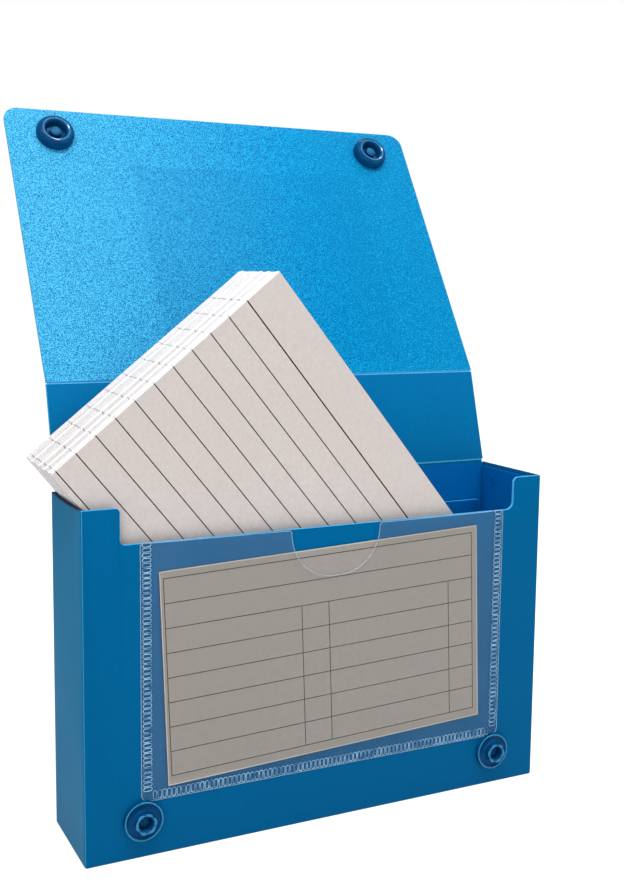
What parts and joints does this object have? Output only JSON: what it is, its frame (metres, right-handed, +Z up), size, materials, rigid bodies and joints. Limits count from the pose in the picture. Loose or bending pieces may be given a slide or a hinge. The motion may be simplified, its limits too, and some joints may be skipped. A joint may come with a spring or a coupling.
{
  "type": "snap-closed index card case",
  "caption": "Open folded plastic card case with a two-crease snap lid, clear label pocket and a tipped pack of ruled cards.",
  "frame": {"origin": "centre of the case's flat underside", "axes": "+Z up, +X to the right of someone who faces the label pocket, -Y out of the front wall"},
  "size_m": [0.1428, 0.0866, 0.1952],
  "materials": {
    "blue_sheet": "fine matte grain, slightly translucent",
    "snap_plastic": "smooth moulded",
    "clear_film": "clear glossy film with welded seams",
    "label_stock": "smooth grey card with a printed blank form",
    "card_stock": "smooth white card with ruled lines"
  },
  "bodies": {
    "case": {"case_shell": "blue_sheet", "left_side_flap": "blue_sheet", "right_side_flap": "blue_sheet", "back_liner": "blue_sheet", "left_stud": "snap_plastic", "right_stud": "snap_plastic", "left_stud_rivet": "snap_plastic", "right_stud_rivet": "snap_plastic", "label_pocket": "clear_film"},
    "top_panel": {"top_panel": "blue_sheet"},
    "flap": {"flap": "blue_sheet", "left_socket": "snap_plastic", "right_socket": "snap_plastic", "left_socket_rivet": "snap_plastic", "right_socket_rivet": "snap_plastic"},
    "label_card": {"label_card": "label_stock"},
    "cards": {"front_card": "card_stock", "card_bundle_01": "card_stock", "card_bundle_02": "card_stock", "card_bundle_03": "card_stock", "card_bundle_04": "card_stock", "card_bundle_05": "card_stock", "card_bundle_06": "card_stock", "card_bundle_07": "card_stock", "card_bundle_08": "card_stock", "card_bundle_09": "card_stock", "card_bundle_10": "card_stock", "card_bundle_11": "card_stock"}
  },
  "joints": [
    {"name": "back_crease", "type": "hinge", "parent": "case", "child": "top_panel", "pos_m": [0, 0.01385, 0.0909], "axis": [1, 0, 0], "range_deg": [-74, 14]},
    {"name": "front_crease", "type": "hinge", "parent": "top_panel", "child": "flap", "pos_m": [0, 0.02171, 0.1183], "axis": [1, 0, 0], "range_deg": [-84, 15.6]},
    {"name": "card_lift", "type": "slide", "parent": "case", "child": "cards", "axis": [0, 0, 1], "range_m": [0, 0.095]},
    {"name": "label_slide", "type": "slide", "parent": "case", "child": "label_card", "axis": [0, 0, 1], "range_m": [0, 0.066]}
  ]
}
